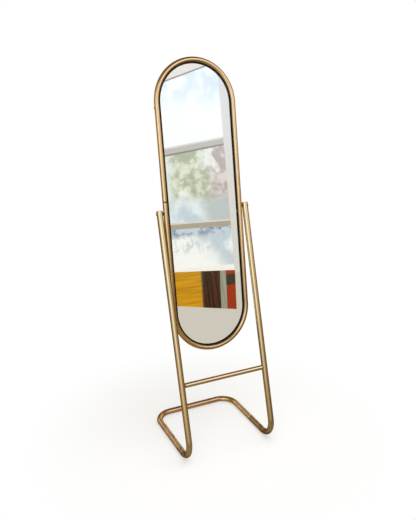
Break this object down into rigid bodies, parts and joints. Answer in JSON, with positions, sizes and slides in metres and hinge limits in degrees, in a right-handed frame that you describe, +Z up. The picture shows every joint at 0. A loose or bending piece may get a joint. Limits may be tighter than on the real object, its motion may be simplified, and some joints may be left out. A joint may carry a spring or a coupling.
{
  "type": "floor mirror",
  "caption": "Tall oval mirror in a round brass tube frame that tilts on two side pivots between the leaning uprights of a bent tube stand with a U-shaped base.",
  "frame": {"origin": "on the floor, under the middle of the base's outline", "axes": "+Z up, +X to the right of someone who looks into the mirror, +Y to the back; the mirror faces -Y"},
  "size_m": [0.4116, 0.4099, 1.5669],
  "materials": {
    "leg_brass": "worn polished brass plate with an olive tarnish and fine scratches on the runners",
    "base_brass": "worn brass plate with a coppery brown tarnish and scratches",
    "bar_brass": "polished brass plate, lightly worn",
    "cap_brass": "polished brass plate",
    "frame_brass": "polished brass plate, lightly worn",
    "bolt_brass": "brass plate, slightly dull",
    "sleeve_metal": "bright turned sleeve",
    "screw_steel": "plain steel",
    "plug_plastic": "dark brown plastic",
    "spacer_fibre": "dark brown fibre washer",
    "clear_glass": "clear float glass",
    "silvering": "mirror silver with backing paint",
    "board": "brown hardboard",
    "gasket_rubber": "black rubber, satin"
  },
  "bodies": {
    "stand": {"left_leg_tube": "leg_brass", "right_leg_tube": "leg_brass", "rear_base_tube": "base_brass", "left_runner_sleeve": "sleeve_metal", "right_runner_sleeve": "sleeve_metal", "crossbar_tube": "bar_brass", "left_crossbar_plug": "plug_plastic", "right_crossbar_plug": "plug_plastic", "crossbar_screws": "screw_steel", "left_top_cap": "cap_brass", "right_top_cap": "cap_brass", "left_pivot_sleeve": "screw_steel", "right_pivot_sleeve": "screw_steel"},
    "mirror": {"frame_tube": "frame_brass", "frame_joiner": "frame_brass", "frame_side_screw": "bolt_brass", "left_pivot_insert": "screw_steel", "right_pivot_insert": "screw_steel", "left_pivot_bolt": "bolt_brass", "right_pivot_bolt": "bolt_brass", "left_pivot_spacer": "spacer_fibre", "right_pivot_spacer": "spacer_fibre", "mirror_glass": "clear_glass", "silvering": "silvering", "backing_board": "board", "gasket_channel": "gasket_rubber", "gasket_infill": "gasket_rubber"}
  },
  "joints": [
    {"name": "mirror_tilt", "type": "hinge", "parent": "stand", "child": "mirror", "pos_m": [0, 0.06187, 0.97943], "axis": [1, 0, 0], "continuous": true}
  ]
}
